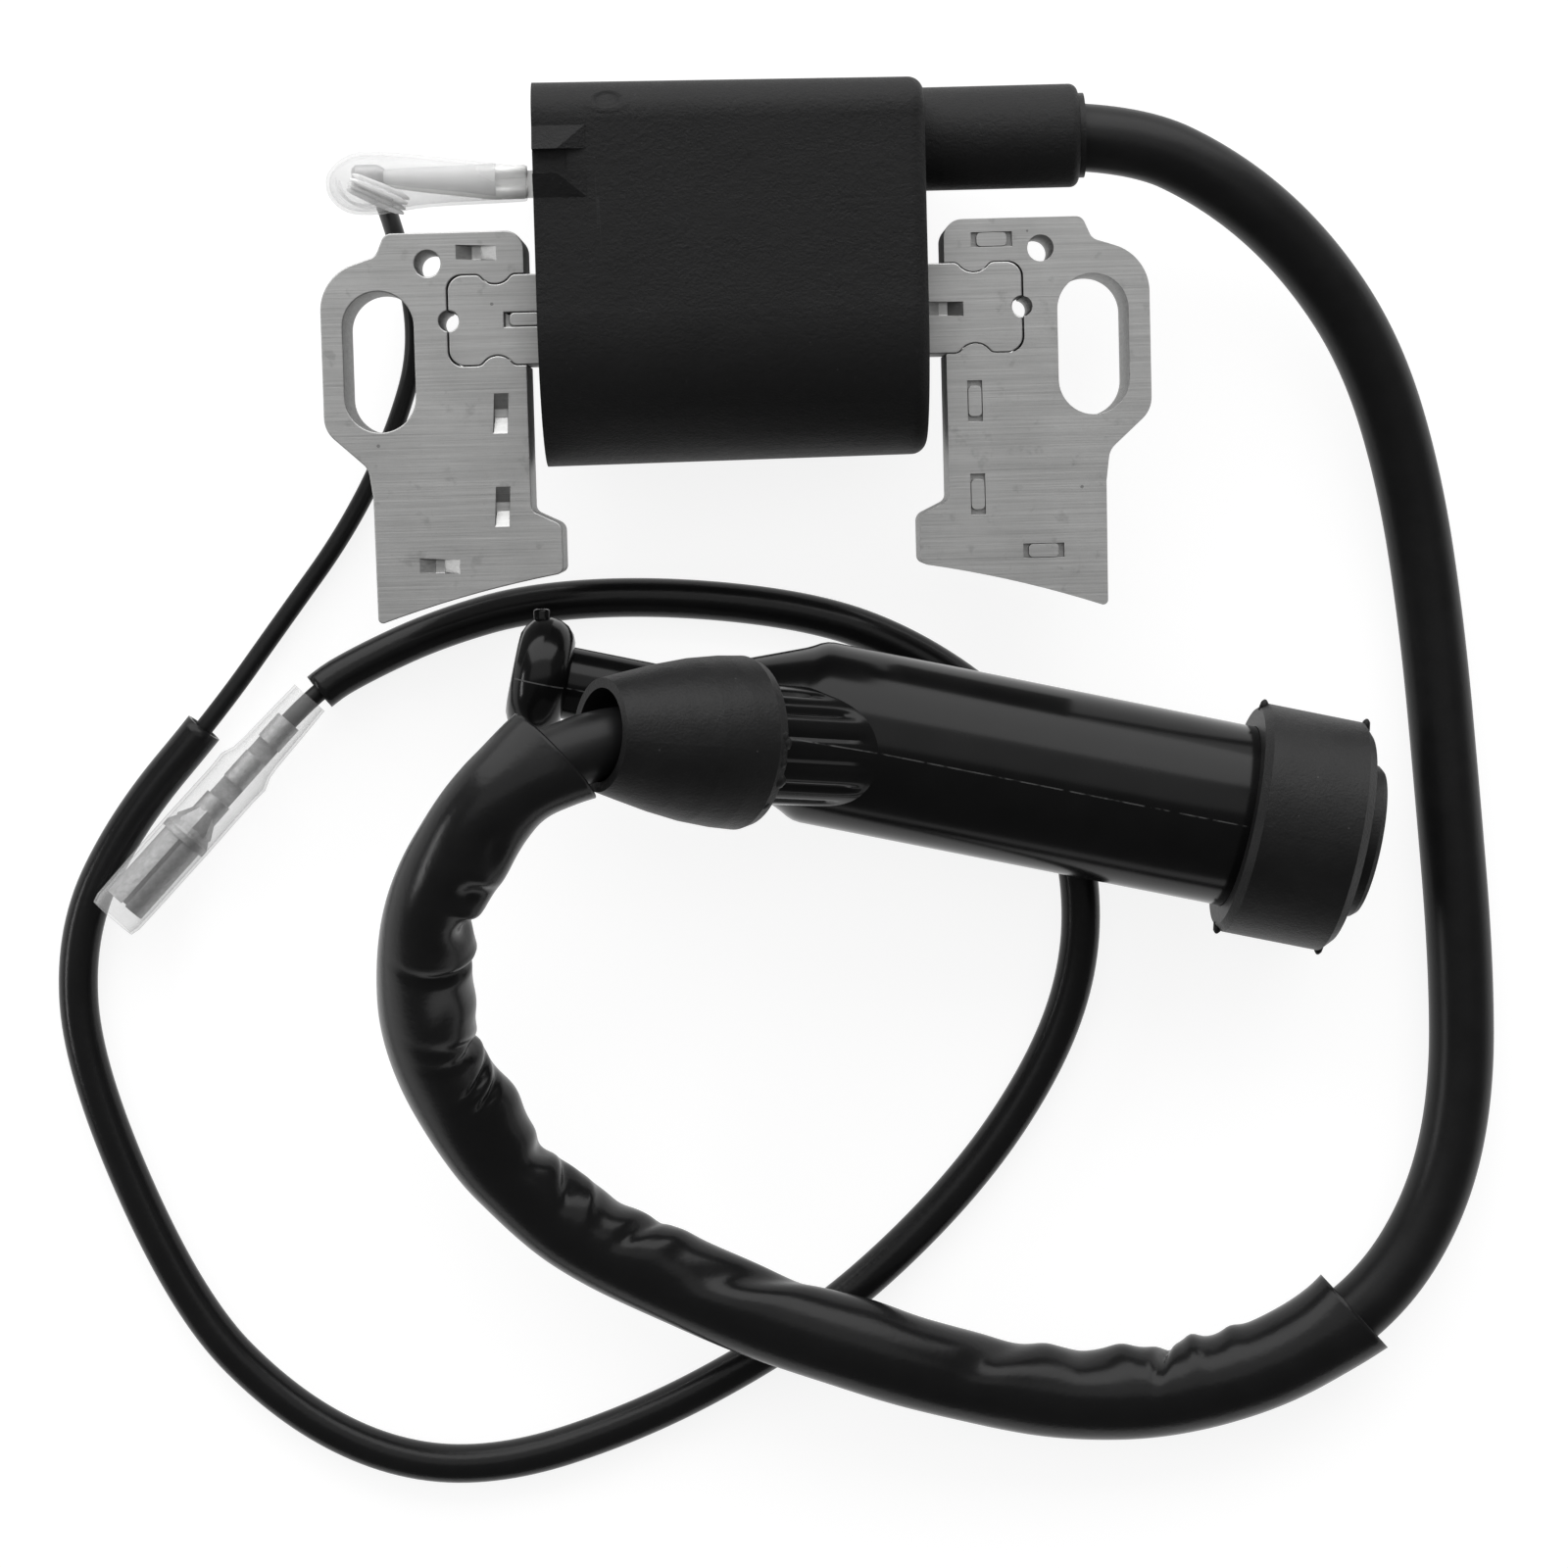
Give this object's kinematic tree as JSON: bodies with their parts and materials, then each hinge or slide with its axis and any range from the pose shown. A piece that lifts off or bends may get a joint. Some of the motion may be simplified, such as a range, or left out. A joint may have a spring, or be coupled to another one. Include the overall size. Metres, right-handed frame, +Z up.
{
  "type": "ignition coil",
  "caption": "Flywheel ignition coil on a slotted laminated core, with a kill wire, a high-tension lead in loose sleeving and a right-angle spark plug cap.",
  "frame": {"origin": "on the surface the unit lies on, midway between the two mounting slots and on their centre line, under the middle of core and case", "axes": "+X along the winding axis towards the high-tension tower, +Y away from the flywheel, +Z up from the surface, through the lamination stack"},
  "size_m": [0.155, 0.1487, 0.041],
  "materials": {
    "laminated_steel": "brushed along X, cut edges bright",
    "case_plastic": "fine matt moulding grain",
    "potting_resin": "cast, flat and glossy",
    "copper_wire": "enamelled",
    "bobbin_plastic": "moulded",
    "circuit_board": "lacquered",
    "chip_plastic": "moulded",
    "tinned_brass": "tinned",
    "brass": "plain",
    "spring_steel": "bright",
    "black_rubber": "matt with moulding flash",
    "lead_insulation": "glossy",
    "sleeve_vinyl": "satin, soft",
    "clear_vinyl": "clear, slightly milky",
    "bakelite": "polished",
    "ceramic": "glazed"
  },
  "bodies": {
    "coil_unit": {"core_bar": "laminated_steel", "left_leg_stack": "laminated_steel", "right_leg_stack": "laminated_steel", "coil_case": "case_plastic", "potting_resin": "potting_resin", "primary_bobbin": "bobbin_plastic", "primary_winding": "copper_wire", "secondary_bobbin": "bobbin_plastic", "secondary_winding": "copper_wire", "control_board": "circuit_board", "power_transistor": "chip_plastic", "board_resistors": "ceramic", "ht_tower_pin": "brass", "ground_strap": "tinned_brass", "kill_tab": "tinned_brass", "tower_seal": "black_rubber", "ht_lead": "lead_insulation", "ht_lead_sleeving": "sleeve_vinyl", "kill_wire": "sleeve_vinyl", "kill_wire_sleeving": "sleeve_vinyl", "bullet_receptacle": "tinned_brass", "bullet_sleeve": "clear_vinyl", "plug_cap_body": "bakelite", "cap_lead_boot": "black_rubber", "cap_plug_boot": "black_rubber", "cap_lead_screw": "brass", "cap_resistor": "ceramic", "cap_spring": "spring_steel", "plug_contact": "brass", "contact_clip": "spring_steel"},
    "kill_connector": {"kill_receptacle": "tinned_brass", "receptacle_cover": "clear_vinyl", "kill_wire_tail": "sleeve_vinyl"}
  },
  "joints": [
    {"name": "kill_connector_pull", "type": "slide", "parent": "coil_unit", "child": "kill_connector", "axis": [-1, 0, 0], "range_m": [0, 0.0075]}
  ]
}
